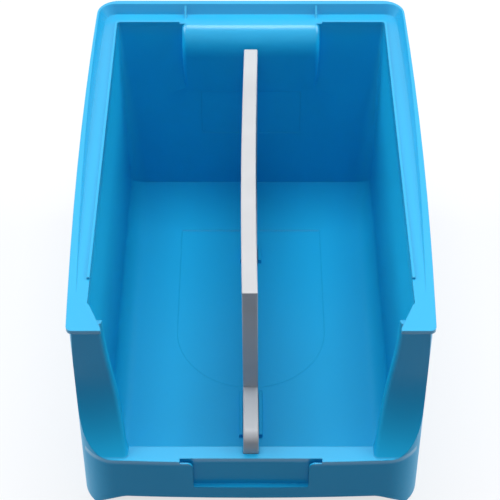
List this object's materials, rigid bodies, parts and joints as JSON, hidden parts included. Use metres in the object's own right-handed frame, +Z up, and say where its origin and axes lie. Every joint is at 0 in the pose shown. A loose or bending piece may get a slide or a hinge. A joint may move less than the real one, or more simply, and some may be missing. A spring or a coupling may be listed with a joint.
{
  "type": "hanging parts bin",
  "caption": "Open-front stacking and hanging parts bin with a rear rail hook, label slot and lift-out lengthwise divider.",
  "frame": {"origin": "centre of the bin's footprint on the surface it stands on", "axes": "+Y from the open front to the back hook, +Z up, +X to the right seen from the front"},
  "size_m": [0.15, 0.2152, 0.1185],
  "materials": {
    "bin_plastic": "satin moulded polypropylene",
    "divider_plastic": "satin moulded plastic"
  },
  "bodies": {
    "bin": {"bin_body": "bin_plastic"},
    "divider": {"divider": "divider_plastic"}
  },
  "joints": [
    {"name": "divider_lift", "type": "slide", "parent": "bin", "child": "divider", "axis": [0, 0, 1], "range_m": [0, 0.12]}
  ]
}
